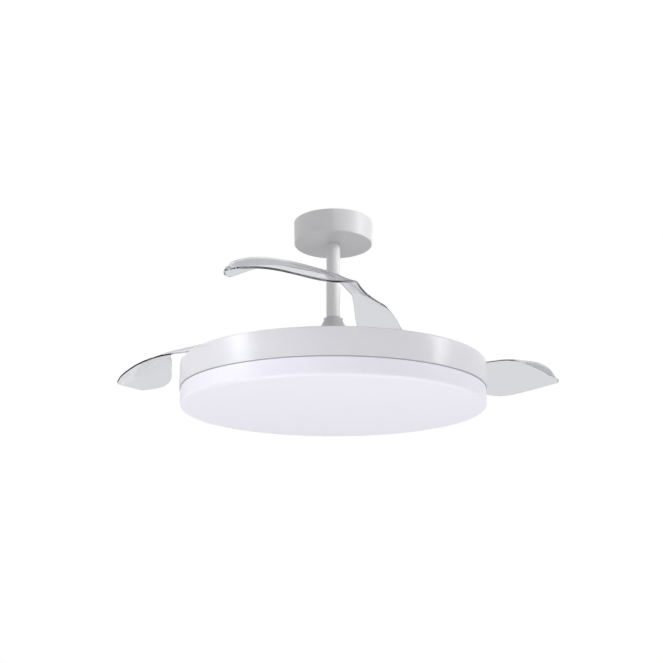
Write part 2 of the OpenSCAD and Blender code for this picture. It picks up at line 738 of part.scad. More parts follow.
module blade_solid() {
    rows = len(stations);
    cols = columns + 1;
    skin = [for (side = [1, -1], s = stations, j = [0:columns])
        blade_point(s, j / columns) + side * blade_t / 2 * blade_normal(s, j / columns)];
    border = concat([for (j = [0:columns]) j], [for (i = [1:rows - 1]) i * cols + columns],
        [for (j = [columns - 1:-1:0]) (rows - 1) * cols + j], [for (i = [rows - 2:-1:1]) i * cols]);
    polyhedron(skin, concat(grid_faces(rows, cols, 0, false), grid_faces(rows, cols, rows * cols, true),
        wall_faces(border, rows * cols)));
}

module clamp_screw_places() around(3, clamp_screw_r, 60) children();

module blade(i) color(acrylic) at_blade(i) difference() {
    blade_solid();
    rod_along(blade_low - 5, blade_low + 10, bush_r + fit);
    clamp_screw_places() rod_along(blade_low - 5, blade_low + 10, clamp_screw_d / 2 + 0.2);
}

// Half-round plate with a straight front edge across the blade
module clamp_shape(h) difference() {
    union() {
        cylinder(r = clamp_r, h = h);
        translate([0, -clamp_r, 0]) cube([root_r, 2 * clamp_r, h]);
    }
    translate([0, 0, -1]) cylinder(r = bush_r + fit, h = h + 2);
}

module blade_clamp(i) color(white) at_blade(i) difference() {
    union() {
        translate([0, 0, clamp_low]) clamp_shape(clamp_t);
        ring(spring_r + wire_d + 1, spring_r + wire_d + 3, bush_low + 1.2, clamp_low - bush_low - 1.2 + eps);
    }
    clamp_screw_places() rod_along(clamp_low - 1, blade_low, clamp_screw_d / 2 + fit);
}

module clamp_plate(i) color(white) at_blade(i) difference() {
    translate([0, 0, clamp_top]) clamp_shape(clamp_plate_t);
    clamp_screw_places() rod_along(clamp_top - 1, clamp_top + 5, clamp_screw_d / 2 + fit);
}

module clamp_screws(i) color(steel) at_blade(i) clamp_screw_places() difference() {
    union() {
        rod_along(clamp_low, clamp_top + clamp_plate_t, clamp_screw_d / 2);
        rod_along(clamp_top + clamp_plate_t, clamp_top + clamp_plate_t + 1.6, 2.8);
    }
    translate([0, 0, clamp_top + clamp_plate_t + 1.6]) cube([0.8, 4, 1.6], center = true);
}

module pivot_bush(i) color(nylon) at_pivot(i)
    ring(pin_r + pin_gap, bush_r, bush_low, bush_high - bush_low);

// --- Drum and light ----------------------------------------------------------------------------

module chassis_plate() color(white) difference() {
    rod_along(plate_low, plate_top, plate_r);
    rod_along(plate_low - 1, plate_top + 1, shaft_r + fit);
    around(rim_screw_n, rim_screw_r) rod_along(plate_low - 1, plate_top + 1, rim_screw_d / 2 + fit);
}

module shaft_nut() color(steel) difference() {
    rod_along(plate_low - 8, plate_low, 14, $fn = 6);
    rod_along(plate_low - 9, plate_low + 1, shaft_r);
}

module rim() color(rim_white) difference() {
    roll = 2;
    rotate_extrude() polygon(concat(
        [[rim_r - sheet_t, rim_top - rim_h], [rim_r, rim_top - rim_h]],
        [for (a = [0:15:90]) [rim_r - roll + roll * cos(a), rim_top - roll + roll * sin(a)]],
        [[rim_r - lip_w, rim_top], [rim_r - lip_w, rim_top - sheet_t], [rim_r - sheet_t, rim_top - sheet_t],
         [rim_r - sheet_t, plate_low], [plate_r - ledge_w + 4, plate_low],
         [plate_r - ledge_w + 4, plate_low - sheet_t], [rim_r - sheet_t, plate_low - sheet_t]]
    ));
    around(rim_screw_n, rim_screw_r) rod_along(plate_low - 5, plate_low + 1, rim_screw_d / 2 + fit);
}

module rim_screws() color(steel) around(rim_screw_n, rim_screw_r) {
    rod_along(plate_low - sheet_t - 2, plate_top, rim_screw_d / 2);
    rod_along(plate_top, plate_top + 1.6, rim_screw_d);
}

module light_pan() color(white) difference() {
    rod_along(pan_low, pan_top, pan_r);
    rod_along(pan_low - 1, pan_top + 1, pan_hole_r);
    around(spacer_n, spacer_ring, 45) rod_along(pan_low - 1, pan_top + 1, spacer_screw_r);
}

module pan_spacers() color(steel) around(spacer_n, spacer_ring, 45) {
    rod_along(pan_top, plate_low, spacer_r);
    rod_along(pan_low - 1.2, pan_top, spacer_screw_r);
}

module led_board() color([0.93, 0.94, 0.92]) difference() {
    union() {
        ring(board_in, board_out, pan_low - board_t, board_t);
        for (k = [1:chip_rings]) around(4 + 8 * k, board_in + (board_out - board_in) * (k - 0.6) / chip_rings)
            translate([-chip / 2, -chip / 2, pan_low - board_t - chip_h]) cube([chip, chip, chip_h + eps]);
    }
    around(6, board_in + 10, 15) rod_along(pan_low - board_t - 1, pan_low + 1, board_hole_r);
}

// A closed box with a foot at each end, its middle this far from the axis
module boxed(size, middle_x) translate([middle_x - size.x / 2, -size.y / 2, pan_top]) difference() {
    union() {
        translate([foot_l, 0, 0]) cube([size.x - 2 * foot_l, size.y, size.z]);
        cube([size.x, size.y, foot_t]);
    }
    for (x = [foot_l / 2, size.x - foot_l / 2]) translate([x, size.y / 2, -1])
        cylinder(d = foot_hole_d, h = foot_t + 2);
}

module led_driver() color(white) boxed(driver_size, pan_r / 2);
module receiver_box() color(black) boxed(receiver_size, -pan_r / 2);

module sector(r1, r2, z, h, angle) rotate([0, 0, -angle / 2]) rotate_extrude(angle = angle)
    translate([r1, z]) square([r2 - r1, h]);

module cover_catches() color(zinc) around(catches, 0, 90) {
    sector(pan_r, pan_r + catch_t, catch_top - catch_t, pan_top - catch_top + catch_t, catch_angle);
    sector(pan_r, light_r - light_t - 0.8, catch_top - catch_t, catch_t, catch_angle);
}

module light_cover() color(opal) {
    in_r = light_r - light_t;
    in_corner = light_corner - light_t;
    rotate_extrude() polygon(concat(
        [[0, light_low]],
        [for (a = [-90:15:0]) [light_r - light_corner + light_corner * cos(a),
            light_low + light_corner + light_corner * sin(a)]],
        [[light_r, light_top], [in_r, light_top]],
        [for (a = [0:-15:-90]) [in_r - in_corner + in_corner * cos(a),
            light_low + light_corner + in_corner * sin(a)]],
        [[0, light_low + light_t]]
    ));
    around(catches, 0, 90) sector(in_r - lug_w, in_r + 0.5, lug_top - lug_t, lug_t, lug_angle);
}

ceiling_bracket();
terminal_block();
earth_screw();
ball_liner();
hanger_ball();
hanger_pin();
downrod();
coupling();
coupling_pin();
coupling_clip();
canopy();
canopy_ring();
rod_cover();
rod_cover_screws();
motor_shaft();
stator_core();
stator_windings();
lower_bearing();
upper_bearing();
motor_bottom_cover();
motor_top_cover();
magnet_ring();
motor_screws();
blade_carrier();
carrier_screws();
pivot_pins();
return_springs();
pivot_bush(0);  // pivot_bush_1
blade_clamp(0);  // blade_clamp_1
blade(0);  // blade_1
clamp_plate(0);  // clamp_plate_1
clamp_screws(0);  // clamp_screws_1
pivot_bush(1);  // pivot_bush_2
blade_clamp(1);  // blade_clamp_2
blade(1);  // blade_2
clamp_plate(1);  // clamp_plate_2
clamp_screws(1);  // clamp_screws_2
pivot_bush(2);  // pivot_bush_3
blade_clamp(2);  // blade_clamp_3
blade(2);  // blade_3
clamp_plate(2);  // clamp_plate_3
clamp_screws(2);  // clamp_screws_3
chassis_plate();
shaft_nut();
rim();
rim_screws();
light_pan();
pan_spacers();
led_board();
led_driver();
receiver_box();
cover_catches();
light_cover();
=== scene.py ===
# %% [markdown]
# # A ceiling fan with clear folding blades
# The fan hangs under a ceiling: a small canopy, a short rod, and a wide flat drum with a light in it.
# Three clear blades lie on pivots above the drum and swing out when the fan turns.
# The construction comes ready made as a fixed frame. This lesson gives it its finish, and makes again
# those pieces whose curves and edges have to be finer than the frame's.

import math

import bmesh
import bpy
import numpy as np
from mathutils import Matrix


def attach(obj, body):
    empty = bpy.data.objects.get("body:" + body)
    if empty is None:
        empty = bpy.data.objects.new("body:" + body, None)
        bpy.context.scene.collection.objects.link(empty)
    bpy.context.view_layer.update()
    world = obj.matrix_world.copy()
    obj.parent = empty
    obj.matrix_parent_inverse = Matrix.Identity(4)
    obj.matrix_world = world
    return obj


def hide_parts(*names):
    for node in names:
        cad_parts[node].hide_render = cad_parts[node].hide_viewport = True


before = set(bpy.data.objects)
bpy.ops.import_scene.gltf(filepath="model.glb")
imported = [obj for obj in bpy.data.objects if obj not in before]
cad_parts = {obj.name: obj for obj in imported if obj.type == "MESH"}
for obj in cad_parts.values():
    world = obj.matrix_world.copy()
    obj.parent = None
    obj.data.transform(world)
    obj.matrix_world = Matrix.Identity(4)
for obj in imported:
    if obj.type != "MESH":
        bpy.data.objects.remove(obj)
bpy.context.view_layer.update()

# %% [markdown]
# ## Camera
# The photograph was taken from below the drum, straight at the rod, with the camera tipped up. A camera
# could be turned by hand until the picture fits. Here its height, distance and tilt were worked out from
# the widths of the canopy and the drum and from how far their lower edges curve, which settles all of
# them at once.

# %% Camera
CAMERA_PLACE = (0.0, -1.549, -0.638)          # metres
CAMERA_TILT = math.radians(90 + 16.03)        # from straight down

lens = bpy.data.cameras.new("camera")
lens.lens = 52.39
lens.sensor_width = 36.0
lens.shift_x = -0.0027
camera = bpy.data.objects.new("camera", lens)
camera.location = CAMERA_PLACE
camera.rotation_euler = (CAMERA_TILT, 0, 0)
bpy.context.scene.collection.objects.link(camera)
bpy.context.scene.camera = camera
bpy.context.scene.view_settings.view_transform = "Standard"
print("camera", CAMERA_PLACE, "tilt", round(math.degrees(CAMERA_TILT), 2))

# %% [markdown]
# ## A way to write finishes
# Nodes could be placed and joined one by one, but then a formula gets lost in them. Here a finish is one
# shader whose plain values sit on its own sockets. What changes over the surface is written as maths:
# `Share` wraps a socket and turns each operator into one Math node, so a band of shade reads like a
# formula. Every other node comes from `Graph.node`.


# %% Shader maths
class Share:
    """A shader socket that takes part in an expression. Each operator adds one Math node."""

    def __init__(self, graph, socket):
        self.graph, self.socket = graph, socket

    def maths(self, operation, *values):
        """One Math node on values or other sockets."""
        return self.graph.node("ShaderNodeMath", {"operation": operation}, dict(enumerate(values)))

    def __add__(self, other):
        return self.maths("ADD", self, other)

    def __radd__(self, other):
        return self.maths("ADD", other, self)

    def __sub__(self, other):
        return self.maths("SUBTRACT", self, other)

    def __rsub__(self, other):
        return self.maths("SUBTRACT", other, self)

    def __mul__(self, other):
        return self.maths("MULTIPLY", self, other)

    def __rmul__(self, other):
        return self.maths("MULTIPLY", other, self)

    def __pow__(self, other):
        return self.maths("POWER", self, other)

    def sine(self):
        return self.maths("SINE", self)

    def greater_of(self, other):
        return self.maths("MAXIMUM", self, other)

    def clamped(self):
        """The value kept between 0 and 1."""
        return self.maths("MINIMUM", self.greater_of(0.0), 1.0)


class Graph:
    """A node tree. Every node is made by `node`."""

    def __init__(self, tree):
        self.tree = tree

    def node(self, kind, settings=None, inputs=None, output=0):
        """Adds a node, sets its settings first and its sockets next, and wraps one output."""
        made = self.tree.nodes.new(kind)
        for key, value in (settings or {}).items():
            setattr(made, key, value)
        for key, value in (inputs or {}).items():
            if isinstance(value, Share):
                self.tree.links.new(value.socket, made.inputs[key])
            else:
                made.inputs[key].default_value = value
        return Share(self, made.outputs[output])

    def place(self, stretch=(1, 1, 1)):
        """Object coordinates, in metres, stretched."""
        here = self.node("ShaderNodeTexCoord", output="Object")
        return self.node("ShaderNodeMapping", None, {"Vector": here, "Scale": stretch})

    def noise(self, scale, detail, stretch=(1, 1, 1)):
        """Cloudy noise with `scale` cells a metre."""
        return self.node("ShaderNodeTexNoise", None, {
            "Vector": self.place(stretch), "Scale": scale, "Detail": detail})

    def blend(self, factor, first, second):
        """A colour that goes from first to second as factor goes from 0 to 1.
        The node's colour sockets share their names with its number sockets, so they go by place."""
        first, second = (part if isinstance(part, Share) else (*part, 1.0) for part in (first, second))
        return self.node("ShaderNodeMix", {"data_type": "RGBA"}, {0: factor, 6: first, 7: second}, output=2)


class Finish(Graph):
    """One material. Its constants go straight to the shader's own sockets."""

    def __init__(self, name, **constants):
        self.material = bpy.data.materials.new(name)
        self.material.use_nodes = True
        super().__init__(self.material.node_tree)
        self.shader = self.tree.nodes["Principled BSDF"]
        for socket, value in constants.items():
            self.shader.inputs[socket.replace("_", " ")].default_value = value

    def drive(self, socket, share):
        """Feeds one of the shader's sockets."""
        self.tree.links.new(share.socket, self.shader.inputs[socket])

    def bump(self, height, depth, strength):
        """Height in 0 to 1, raised by `depth` metres."""
        self.drive("Normal", self.node("ShaderNodeBump", None, {
            "Height": height, "Distance": depth, "Strength": strength}))


def shaded(colour, share):
    """The colour times share."""
    return tuple(share * part for part in colour)


print("shader helpers ready")

# %% [markdown]
# ## Painted metal
# The canopy, rod and drum are pressed steel with a satin stove enamel. Close up such paint has a very
# fine orange peel, and its sheen is a little uneven. An image could show that, but would have to be
# wrapped round every piece. A fine bump and a slow drift of the roughness give both from the place of a
# point alone, and stay invisible from across a room.


# %% Paint
PEEL_HEIGHT = 0.00002                         # metres


def painted(name, colour, roughness):
    """Satin enamel: roughness drifts by 0.08 with a slow noise, and the height is a fine noise."""
    finish = Finish(name, Coat_Weight=0.15, Coat_Roughness=0.25)
    finish.drive("Roughness", finish.noise(9.0, 2.0) * 0.08 + (roughness - 0.04))
    finish.drive("Base Color", finish.blend(finish.noise(14.0, 4.0), shaded(colour, 0.965), colour))
    finish.bump(finish.noise(700.0, 2.0), PEEL_HEIGHT, 0.35)
    return finish.material


# The canopy, the rod cover and the rod are the same white enamel as the drum. Their darker greys are
# painted shade, standing in for the shade that falls on them near the ceiling.
canopy_shaded_paint = painted("canopy_shaded_paint", (0.58, 0.57, 0.585), 0.38)
rod_cover_shaded_paint = painted("rod_cover_shaded_paint", (0.485, 0.475, 0.51), 0.38)
rod_shaded_paint = painted("rod_shaded_paint", (0.70, 0.69, 0.70), 0.36)
drum_paint = painted("drum_paint", (0.75, 0.75, 0.79), 0.30)
inner_paint = painted("inner_paint", (0.84, 0.84, 0.85), 0.5)
print("paints", [m.name for m in (canopy_shaded_paint, rod_cover_shaded_paint, rod_shaded_paint, drum_paint, inner_paint)])

# %% [markdown]
# ## Opal acrylic
# The light cover is a vacuum formed opal sheet, white all through, with a faint lavender tint. Its
# gloss is soft and slightly wavy, as a formed sheet's is. Light that wanders inside the sheet could be
# traced, but with the lamp off a plain white with a rough gloss looks the same. The thin shade in the
# seam under the rim is part of the colour here, because the real gap is narrower than a pixel.


# %% Opal cover
SEAM_LEVEL = -0.2985                          # lower edge of the rim, in metres
SEAM_DEPTH = 0.0019                           # how far down the rim shades the sheet


def opal():
    """Opal sheet: a drifting roughness and tint, and a very shallow slow wave. Just under the rim the
    sheet is in shade: shade = (z - (edge - depth)) / (0.4 depth), kept between 0 and 1."""
    finish = Finish("opal_acrylic", IOR=1.49)
    finish.drive("Roughness", finish.noise(5.0, 2.0) * 0.08 + 0.42)
    sheet = finish.blend(finish.noise(6.0, 3.0), (0.865, 0.85, 0.935), (0.885, 0.87, 0.95))
    up = finish.node("ShaderNodeSeparateXYZ", None, {0: finish.place()}, output=2)
    shade = ((up - (SEAM_LEVEL - SEAM_DEPTH)) * (2.5 / SEAM_DEPTH)).clamped()
    finish.drive("Base Color", finish.blend(shade, sheet, (0.36, 0.36, 0.41)))
    finish.bump(finish.noise(120.0, 2.0), 0.00001, 0.2)
    return finish.material


opal_cover = opal()
print("cover", opal_cover.name, "with a seam at", SEAM_LEVEL, "m")

# %% [markdown]
# ## Clear grey acrylic
# The blades are cast acrylic with a light smoke tint. The two faces let light straight through, and
# only the polished edge looks darker, because light runs a long way inside the sheet before it leaves
# there. A tint that grows with the way through the sheet could do that, but is lost in an export. So the
# edge is marked on the mesh, and the tint follows that mark.


# %% Blade acrylic
def blade_acrylic():
    """Smoke tint on the faces, a darker one on the marked edge, and a faint haze in the roughness.
    The index is lower than that of acrylic, so that the folds of the sheet stay as light as they are
    against a white wall."""
    finish = Finish("blade_acrylic", IOR=1.08, Transmission_Weight=1.0)
    edge = finish.node("ShaderNodeAttribute", {"attribute_name": "edge"}, output="Fac")
    finish.drive("Roughness", finish.noise(30.0, 3.0) * 0.02 + 0.02)
    finish.drive("Base Color", finish.blend(edge, (0.68, 0.685, 0.71), (0.62, 0.62, 0.66)))
    return finish.material


clear_acrylic = blade_acrylic()
print("blades", clear_acrylic.name)

# %% [markdown]
# ## Bare metal, nylon and the rest
# Behind the paint are zinc plated sheet, turned steel, moulded nylon, wound copper and a ferrite ring.
# Turned and drawn metal shows fine lines, so its noise is stretched along one direction. Moulded
# plastic has a fine even grain. Most of these pieces are hidden in use, so each gets the plainest finish
# that still tells its material when the fan is taken apart.


# %% Metals and mouldings
def brushed(name, colour, roughness, stretch):
    """Drawn metal: roughness and height from a noise that is stretched along the lines."""
    finish = Finish(name, Metallic=1.0)
    lines = finish.noise(260.0, 3.0, stretch)
    finish.drive("Roughness", lines * 0.16 + (roughness - 0.08))
    finish.drive("Base Color", finish.blend(finish.noise(40.0, 3.0, stretch), shaded(colour, 0.8), colour))
    finish.bump(lines, 0.00002, 0.4)
    return finish.material


def moulded(name, colour, roughness):
    """Moulded plastic: an even grain in height, and a slow drift in roughness."""
    finish = Finish(name)
    finish.drive("Roughness", finish.noise(25.0, 2.0) * 0.1 + (roughness - 0.05))
    finish.drive("Base Color", finish.blend(finish.noise(60.0, 3.0), shaded(colour, 0.94), colour))
    finish.bump(finish.noise(1200.0, 1.0), 0.00002, 0.5)
    return finish.material


def wound(name, colour, wire_d):
    """Enamelled wire: round ridges one wire apart across the coil, sin^2 of the height, and a drift in
    the enamel's colour."""
    finish = Finish(name, Metallic=0.85, Coat_Weight=0.6, Coat_Roughness=0.15)
    up = finish.node("ShaderNodeSeparateXYZ", None, {0: finish.place()}, output=2)
    turn = up * (math.pi / wire_d)
    ridge = turn.sine() ** 2.0
    finish.drive("Roughness", ridge * -0.12 + 0.42)
    finish.drive("Base Color", finish.blend(finish.noise(80.0, 3.0), shaded(colour, 0.75), colour))
    finish.bump(ridge, 0.0002, 0.8)
    return finish.material


zinc = brushed("zinc_plate", (0.66, 0.67, 0.66), 0.42, (1, 1, 1))
steel = brushed("turned_steel", (0.72, 0.73, 0.75), 0.28, (1, 1, 12))
brass = brushed("turned_brass", (0.78, 0.64, 0.34), 0.3, (1, 1, 12))
copper = wound("wound_copper", (0.76, 0.40, 0.22), 0.0008)
stator_steel = brushed("stator_sheets", (0.42, 0.42, 0.44), 0.45, (1, 1, 30))
ferrite = moulded("ferrite", (0.10, 0.10, 0.105), 0.5)
cream_nylon = moulded("cream_nylon", (0.86, 0.85, 0.79), 0.45)
black_nylon = moulded("black_nylon", (0.06, 0.06, 0.065), 0.5)
white_nylon = moulded("white_nylon", (0.83, 0.83, 0.84), 0.42)
board_white = moulded("board_mask", (0.86, 0.87, 0.85), 0.35)
print("finishes", len(bpy.data.materials))

# %% [markdown]
# ## Finish the frame's own nodes
# A node whose shape is right keeps its mesh and gets its material here. Making all of them again would
# add nothing that shows, and one table of finishes and names is easy to read and to change.

# %% Dress the nodes
DRESS = {
    canopy_shaded_paint: "canopy canopy_ring",
    rod_cover_shaded_paint: "rod_cover",
    rod_shaded_paint: "downrod",
    drum_paint: "rim motor_bottom_cover motor_top_cover",
    inner_paint: "chassis_plate light_pan blade_carrier",
    opal_cover: "light_cover",
    clear_acrylic: "blade_1 blade_2 blade_3",
    zinc: "ceiling_bracket coupling cover_catches",
    steel: "hanger_pin coupling_pin coupling_clip rod_cover_screws motor_shaft lower_bearing upper_bearing "
           "motor_screws carrier_screws pivot_pins return_springs clamp_screws_1 clamp_screws_2 "
           "clamp_screws_3 shaft_nut rim_screws pan_spacers",
    brass: "earth_screw",
    copper: "stator_windings",
    stator_steel: "stator_core",
    ferrite: "magnet_ring",
    cream_nylon: "terminal_block ball_liner pivot_bush_1 pivot_bush_2 pivot_bush_3",
    black_nylon: "hanger_ball receiver_box",
    white_nylon: "blade_clamp_1 blade_clamp_2 blade_clamp_3 clamp_plate_1 clamp_plate_2 clamp_plate_3 "
                 "led_driver",
    board_white: "led_board",
}
dressed = 0
for material, names in DRESS.items():
    for name in names.split():
        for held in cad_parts[name].material_slots:
            held.material = material
        dressed += 1
print("dressed", dressed, "of", len(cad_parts))

# %% [markdown]
# ## The blades
# A blade is a clear sheet 2.5 mm thick, like a sickle seen from above. Its middle line starts at the
# pivot and bends back on the way to the tip. The sheet lies flat at the root, climbs over the motor and
# falls towards the tip, with a pitch that pushes the air. The frame's blade has these curves in few
# faces, and clear glossy sheet shows every face. It could be smoothed with a subdivision, but that would
# shrink the outline. So the formula is worked out again on a fine grid, with the neck of the leading edge
# drawn a little smoother.

# %% Sizes of a blade, in millimetres
RIM_TOP = -256.0                              # the blade's heights count from here
PIVOT_RING, PIVOT_AZIMUTH = 165.0, 300.0      # pivots from the axis, and the first one's direction
SWINGS, BLADE_SPACING = (-53.0, -38.0, -33.0), 120.0
LENGTH, THICKNESS = 355.0, 2.5
ROOT_RADIUS, BORE_RADIUS = 22.0, 7.6
BEND = 49.5                                   # degrees that the middle line turns back by its tip
FLAT_LENGTH, RISE_LENGTH = 24.0, 58.0
CLAMP_LEVEL = 13.7                            # underside of the flat root
ROOT_LEVEL = CLAMP_LEVEL + THICKNESS / 2
TIP_START = 0.86                              # share of the length where the round tip begins
CORNER = 0.8                                  # radius of the polished edge's corners
LEAD_WIDTH, LEAD_NECK = 67.0, 7.0             # ahead of the middle line
TRAIL_WIDTH, TRAIL_NECK, SHOULDER = 58.0, 7.0, 37.0   # behind it
ARCH_HEIGHT, TIP_HEIGHT = 54.0, 24.5
PITCH_MIDDLE, PITCH_TIP = 26.5, 2.0           # degrees
HOLLOW_TIP = 24.0                             # depth of the hollow at the tip

# Each table holds (share of the length, size)
LEAD = ((0, ROOT_RADIUS), (0.1, ROOT_RADIUS + 15), (0.2, LEAD_NECK + 18), (0.36, LEAD_NECK + 8),
        (0.48, 0.48 * LEAD_WIDTH), (0.6, 0.88 * LEAD_WIDTH), (0.7, 0.93 * LEAD_WIDTH),
        (0.85, 0.64 * LEAD_WIDTH), (1, 0.25 * LEAD_WIDTH))
TRAIL = ((0, ROOT_RADIUS), (0.07, SHOULDER), (0.13, 0.96 * SHOULDER), (0.2, 0.73 * SHOULDER),
         (0.33, TRAIL_NECK + 12), (0.4, TRAIL_NECK + 4), (0.5, TRAIL_NECK), (0.7, 0.72 * TRAIL_WIDTH),
         (1, TRAIL_WIDTH))
ARCH = ((0, ARCH_HEIGHT), (0.25, ARCH_HEIGHT - 6), (0.5, ARCH_HEIGHT + 2),
        (0.75, (ARCH_HEIGHT + TIP_HEIGHT) / 2), (1, TIP_HEIGHT))
PITCH = ((0, 0.65 * PITCH_MIDDLE), (0.25, PITCH_MIDDLE), (0.5, 0.8 * PITCH_MIDDLE), (0.75, PITCH_MIDDLE),
         (1, PITCH_TIP))
HOLLOW = ((0, 6), (0.5, 0.1 * HOLLOW_TIP), (1, HOLLOW_TIP))
EASE_SHIFTS = (-0.06, -0.03, 0, 0.03, 0.06)
print("blade", LENGTH, "mm long and", THICKNESS, "mm thick")


def eased(table, t):
    """The table's value at t, as the mean of five look-ups 0.03 apart, which rounds its corners."""
    places, values = np.array(table).T
    return np.mean([np.interp(t + shift, places, values) for shift in EASE_SHIFTS], axis=0)


def smooth(x):
    """0 below 0, 1 above 1, and x^2 (3 - 2x) between them."""
    x = np.clip(x, 0, 1)
    return x * x * (3 - 2 * x)


def climb(s):
    """0 on the flat root, 1 beyond the rise, and smooth on the way through it."""
    return smooth((s - FLAT_LENGTH) / RISE_LENGTH)


def tip_round(s):
    """1 along the blade and a quarter circle over the tip: sqrt(1 - x^2)."""
    x = np.clip((s / LENGTH - TIP_START) / (1 - TIP_START), 0, 1)
    return np.sqrt(1 - x * x)


STEPS = 240                                   # along the middle line
step_middle = (np.arange(STEPS) + 0.5) * LENGTH / STEPS
step_heading = np.radians(-BEND * (step_middle / LENGTH) ** 2)
line_s = np.arange(STEPS + 1) * LENGTH / STEPS
line_x = np.concatenate(([0], np.cumsum(np.cos(step_heading)))) * LENGTH / STEPS
line_y = np.concatenate(([0], np.cumsum(np.sin(step_heading)))) * LENGTH / STEPS
print("middle line ends at", round(line_x[-1], 1), round(line_y[-1], 1), "mm")

# %% [markdown]
# ## The blade's outline and surface
# The outline is a half round root, two long sides and a round tip. A point of the sheet is named by two
# numbers: how far it lies along the middle line, and how far ahead of it. One function turns the two into
# a place, so the outline, the slope and the thickness all come from it.

# %% Edges of a blade along its middle line
ROOT_POINTS, SIDE_POINTS, TIP_POINTS = 14, 110, 22
ROOT_END = 12                                 # degrees short of the widest place of the round root
SIDE_START = 8                                # where the long sides begin
root_angles = np.radians(np.linspace(90, ROOT_END, ROOT_POINTS))
tip_angles = np.radians(np.linspace(0, 90, TIP_POINTS))
edge_s = np.concatenate((
    -ROOT_RADIUS * np.sin(root_angles),
    np.linspace(SIDE_START, TIP_START * LENGTH, SIDE_POINTS),
    (LENGTH * (TIP_START + (1 - TIP_START) * np.sin(tip_angles)))[1:],
))


def half_root(s):
    """Half the width of the round root: sqrt(r^2 - s^2)."""
    return np.sqrt(np.maximum(ROOT_RADIUS ** 2 - s * s, 0))


edge_lead = np.where(edge_s < 0, half_root(edge_s), tip_round(edge_s) * eased(LEAD, edge_s / LENGTH))
edge_trail = np.where(edge_s < 0, half_root(edge_s), tip_round(edge_s) * eased(TRAIL, edge_s / LENGTH))
print("widest", round((edge_lead + edge_trail).max(), 1), "mm")

# %% A point of the sheet and its slope
SLOPE_STEP = 0.2                              # millimetres to each side


def widths(s):
    """Width ahead of and behind the middle line."""
    return np.interp(s, edge_s, edge_lead), np.interp(s, edge_s, edge_trail)


def blade_point(s, w):
    """A point of the sheet's middle, s along the blade and w ahead of the middle line.
    x and y: the middle line plus w across it. z: root level to arch by the climb, less w times the
    tangent of the pitch, plus the hollow sin(180 u^2), with u from 0 at the leading edge to 1."""
    lead, trail = widths(s)
    u = np.clip((lead - w) / np.maximum(lead + trail, 1e-3), 0, 1)
    t = np.maximum(s / LENGTH, 0)
    c = climb(s)
    heading = np.radians(-BEND * t * t)
    x = np.where(s < 0, s, np.interp(s, line_s, line_x)) - w * np.sin(heading)
    y = np.where(s < 0, 0, np.interp(s, line_s, line_y)) + w * np.cos(heading)
    hollow = c * tip_round(s) * eased(HOLLOW, t) * np.sin(np.pi * u * u)
    z = ROOT_LEVEL * (1 - c) + c * eased(ARCH, t) - c * np.tan(np.radians(eased(PITCH, t))) * w + hollow
    return np.stack((x, y, z + RIM_TOP), axis=-1)


def lengths_one(v):
    """Vectors scaled to a length of 1."""
    return v / np.maximum(np.linalg.norm(v, axis=-1, keepdims=True), 1e-9)


def blade_normal(s, w):
    """Upward normal: the slope along s crossed with the slope along w."""
    d = SLOPE_STEP
    along = blade_point(s + d, w) - blade_point(s - d, w)
    across = blade_point(s, w + d) - blade_point(s, w - d)
    return lengths_one(np.cross(along, across))


print("tip", np.round(blade_point(LENGTH, 0.0), 1), "mm")

# %% [markdown]
# ## A grid that follows the sheet
# A square grid would leave steps along the round ends. Here each ray starts at the bore for the pivot or
# on the middle of the blade, and runs out to the edge, so that the outline is one clean row of points.

# %% Rays from the bore and the middle line to the edge
BORE_SHARE = 0.26                             # share of the edge points whose rays start at the bore
SPINE_END = 0.93                              # where the last ray starts, as a share of the length
DRIFT_LENGTH = 40                             # in which the start moves from the middle line to mid sheet
RAY_POINTS = 22                               # on each ray
count = len(edge_s)
bore_rays = int(BORE_SHARE * count)
fan = np.linspace(0, 1, bore_rays + 1)
bore_turn = np.pi * (1 - fan)                 # from the back of the bore to its front
spine_s = np.linspace(BORE_RADIUS, SPINE_END * LENGTH, count - bore_rays)
target_s = np.concatenate((BORE_RADIUS * np.cos(bore_turn), spine_s[1:]))


def half_width(s):
    """Half the width of the sheet, and how far ahead of the middle line its middle lies."""
    lead, trail = widths(s)
    return (lead + trail) / 2, (lead - trail) / 2


def rays(side):
    """(s, w) of the grid on one side of the blade: a ray is a straight line in s and in the share of
    the half width."""
    target_w = np.concatenate((side * BORE_RADIUS * np.sin(bore_turn), 0 * spine_s[1:]))
    half, middle = half_width(target_s)
    on_spine = np.arange(count) > bore_rays
    drift = smooth((target_s - BORE_RADIUS) / DRIFT_LENGTH)
    first = np.where(on_spine, -(middle / half) * (1 - drift), (target_w - middle) / np.maximum(half, 1e-6))
    last = np.full(count, float(side))
    last[0] = last[-1] = 0.0
    share = np.linspace(0, 1, RAY_POINTS)[None, :]
    s = target_s[:, None] * (1 - share) + edge_s[:, None] * share
    v = first[:, None] * (1 - share) + last[:, None] * share
    half, middle = half_width(s)
    return s, middle + v * half


lead_s, lead_w = rays(1)
trail_s, trail_w = rays(-1)
ring_s = np.concatenate((lead_s, trail_s[-2:0:-1]))   # once round the blade, from the back of the root
ring_w = np.concatenate((lead_w, trail_w[-2:0:-1]))
print("rays round the blade", len(ring_s), "with", RAY_POINTS, "points each")

# %% [markdown]
# ## Thickness and rounded corners
# The sheet's two faces lie half a thickness above and below its middle. A cut and polished edge isn't
# sharp, and its small rounding is what catches the light. A bevel could add it, but here the rows of
# points run on round the corner, which gives the same rounding all along the outline.

# %% One blade's skin
CORNER_POINTS = 4                             # on each of the two rounded corners
CORNER_START = 0.75                           # share of a ray where the faces begin to draw in


